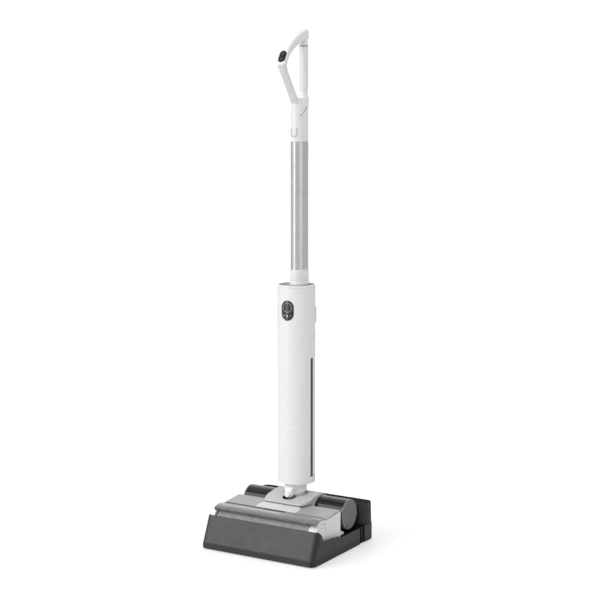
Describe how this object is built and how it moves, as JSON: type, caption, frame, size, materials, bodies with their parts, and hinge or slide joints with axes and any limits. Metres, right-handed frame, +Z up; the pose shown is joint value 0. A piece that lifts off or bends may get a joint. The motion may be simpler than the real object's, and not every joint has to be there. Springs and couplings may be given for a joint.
{
  "type": "wet dry floor scrubber",
  "caption": "Upright wet dry floor scrubber standing in its charging dock, with a roller head, rear canisters, a body with a clean-water tank and a loop handle.",
  "frame": {"origin": "centre of the dock's outline on the floor plane under its feet", "axes": "+X to the machine's left as it faces the viewer's right, -Y the machine's front, +Z up"},
  "size_m": [0.28, 0.258, 1.1],
  "materials": {
    "dock_plastic": "matte",
    "dock_dark_plastic": "matte",
    "black_plastic": "matte",
    "rubber": "matte",
    "steel": "brushed",
    "brass": "polished",
    "circuit_board": "satin",
    "grey_plastic": "satin",
    "white_plastic": "satin",
    "clear_plastic": "clear",
    "smoke_plastic": "clear",
    "felt": "fabric",
    "aluminium": "anodised",
    "mid_grey_plastic": "satin",
    "display_glass": "gloss",
    "ring_light": "gloss",
    "motor_metal": "satin",
    "battery_cells": "satin"
  },
  "bodies": {
    "dock": {"dock_tray": "dock_plastic", "dock_rear_housing": "dock_dark_plastic", "dock_base_plate": "black_plastic", "dock_feet": "rubber", "dock_screws": "steel", "dock_contact_block": "black_plastic", "dock_contact_pins": "brass", "dock_circuit_board": "circuit_board", "dock_power_inlet": "black_plastic"},
    "head": {"head_chassis": "grey_plastic", "head_top_cover": "grey_plastic", "cover_tongue": "white_plastic", "roller_motor": "motor_metal", "roller_end_cap": "white_plastic", "spray_bar": "mid_grey_plastic", "squeegee": "rubber", "pivot_hub": "mid_grey_plastic", "wheel_axles": "steel", "head_contacts": "brass"},
    "roller": {"roller_core": "black_plastic", "roller_sleeve": "felt", "roller_drive_dog": "steel"},
    "window": {"roller_window": "clear_plastic"},
    "latch": {"window_latch": "grey_plastic"},
    "left_wheel": {"wheel_left": "rubber"},
    "right_wheel": {"wheel_right": "rubber"},
    "left_canister": {"canister_left": "smoke_plastic", "canister_cap_left": "mid_grey_plastic", "canister_filter_left": "mid_grey_plastic"},
    "right_canister": {"canister_right": "smoke_plastic", "canister_cap_right": "mid_grey_plastic", "canister_filter_right": "mid_grey_plastic"},
    "yoke": {"yoke_saddle": "grey_plastic"},
    "upright": {"roll_pin": "white_plastic", "neck_collar": "white_plastic", "body_lower_ring": "white_plastic", "body_front_shell": "white_plastic", "body_top_cap": "white_plastic", "display_panel": "display_glass", "display_ring": "ring_light", "exhaust_grille": "grey_plastic", "suction_motor": "motor_metal", "battery_pack": "battery_cells", "main_board": "circuit_board", "water_pump": "mid_grey_plastic", "air_duct": "mid_grey_plastic", "wand_lower_collar": "white_plastic", "wand_tube": "aluminium"},
    "impeller": {"suction_impeller": "black_plastic"},
    "clean_tank": {"clean_tank_shell": "smoke_plastic", "clean_tank_back": "white_plastic", "clean_tank_cap": "white_plastic"},
    "plug": {"tank_plug": "rubber"},
    "tank_release": {"tank_latch": "grey_plastic"},
    "handle": {"handle_frame": "white_plastic", "handle_grip": "white_plastic", "handle_panel": "black_plastic"},
    "power": {"power_button": "black_plastic"},
    "mode": {"mode_button": "black_plastic"},
    "handle_release": {"handle_release_button": "white_plastic"}
  },
  "joints": [
    {"name": "lift_off", "type": "slide", "parent": "dock", "child": "head", "axis": [0, 0.1191, 0.9929], "range_m": [0, 0.12]},
    {"name": "recline", "type": "hinge", "parent": "head", "child": "yoke", "pos_m": [0, 0.045, 0.072], "axis": [-1, 0, 0], "range_deg": [0, 50]},
    {"name": "roll", "type": "hinge", "parent": "yoke", "child": "upright", "pos_m": [0, 0.02, 0.11], "axis": [0, 1, 0], "range_deg": [-20, 20]},
    {"name": "roller_spin", "type": "hinge", "parent": "head", "child": "roller", "pos_m": [0, -0.0745, 0.049], "axis": [1, 0, 0], "continuous": true},
    {"name": "window_lift", "type": "slide", "parent": "head", "child": "window", "axis": [0, 0, 1], "range_m": [0, 0.06]},
    {"name": "window_latch_press", "type": "slide", "parent": "head", "child": "latch", "axis": [0, 0, -1], "range_m": [0, 0.0012], "stiffness_N_per_m": 600},
    {"name": "left_wheel_spin", "type": "hinge", "parent": "head", "child": "left_wheel", "pos_m": [0, 0.058, 0.0273], "axis": [1, 0, 0], "continuous": true},
    {"name": "right_wheel_spin", "type": "hinge", "parent": "head", "child": "right_wheel", "pos_m": [0, 0.058, 0.0273], "axis": [1, 0, 0], "continuous": true},
    {"name": "left_canister_slide", "type": "slide", "parent": "head", "child": "left_canister", "axis": [-1, 0, 0], "range_m": [0, 0.08]},
    {"name": "right_canister_slide", "type": "slide", "parent": "head", "child": "right_canister", "axis": [1, 0, 0], "range_m": [0, 0.08]},
    {"name": "impeller_spin", "type": "hinge", "parent": "upright", "child": "impeller", "pos_m": [0, 0.036, 0.534], "axis": [0, 0, 1], "continuous": true},
    {"name": "tank_slide", "type": "slide", "parent": "upright", "child": "clean_tank", "axis": [0, 1, 0], "range_m": [0, 0.08]},
    {"name": "plug_pull", "type": "slide", "parent": "clean_tank", "child": "plug", "axis": [0, 1, 0], "range_m": [0, 0.015]},
    {"name": "tank_latch_press", "type": "slide", "parent": "clean_tank", "child": "tank_release", "axis": [0, -1, 0], "range_m": [0, 0.0015], "stiffness_N_per_m": 600},
    {"name": "handle_lift", "type": "slide", "parent": "upright", "child": "handle", "axis": [0, 0, 1], "range_m": [0, 0.07]},
    {"name": "power_press", "type": "slide", "parent": "handle", "child": "power", "axis": [0, 0.8725, -0.4886], "range_m": [0, 0.001], "stiffness_N_per_m": 500},
    {"name": "mode_press", "type": "slide", "parent": "handle", "child": "mode", "axis": [0, 0.8725, -0.4886], "range_m": [0, 0.001], "stiffness_N_per_m": 500},
    {"name": "handle_release_press", "type": "slide", "parent": "handle", "child": "handle_release", "axis": [0, 1, 0], "range_m": [0, 0.0015], "stiffness_N_per_m": 600}
  ]
}
